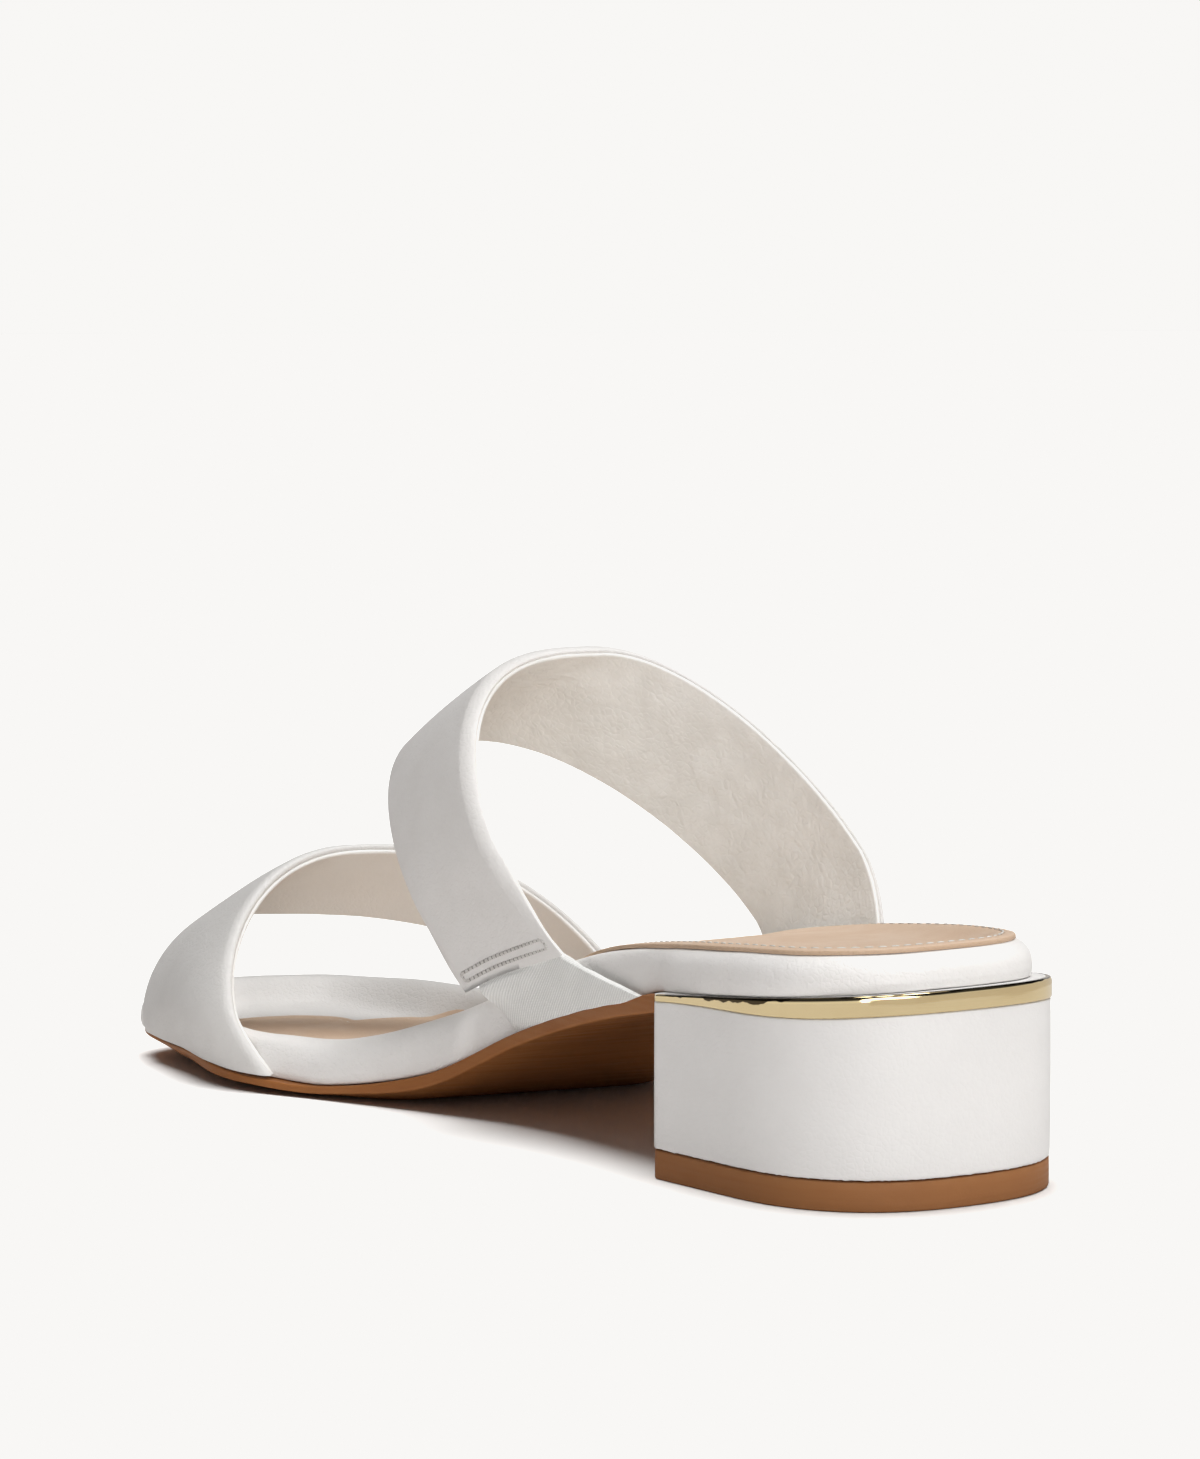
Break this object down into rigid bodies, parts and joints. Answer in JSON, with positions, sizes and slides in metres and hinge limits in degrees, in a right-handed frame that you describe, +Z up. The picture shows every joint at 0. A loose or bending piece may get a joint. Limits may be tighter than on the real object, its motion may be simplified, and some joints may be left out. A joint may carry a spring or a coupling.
{
  "type": "dress sandal",
  "caption": "Women's white leather slide sandal with a low block heel, broad straps and an elastic gore, right foot.",
  "frame": {"origin": "on the floor, under the centre of the sandal's box", "axes": "+Z up from the floor, -Y towards the toe, +X towards the inner (big-toe) side"},
  "size_m": [0.0836, 0.244, 0.0911],
  "materials": {
    "white_leather": "satin",
    "instep_leather": "satin",
    "footbed_leather": "satin",
    "heel_leather": "satin",
    "tan_leather": "matte",
    "brown_sole": "satin",
    "brown_lift": "satin",
    "gold_metal": "polished",
    "white_elastic": "matte"
  },
  "bodies": {
    "root": {"outsole": "brown_sole", "heel_block": "heel_leather", "top_lift": "brown_lift", "heel_band": "gold_metal", "footbed": "footbed_leather", "sock_lining": "tan_leather", "toe_strap": "white_leather", "instep_strap": "instep_leather", "elastic_gore": "white_elastic"}
  },
  "joints": []
}
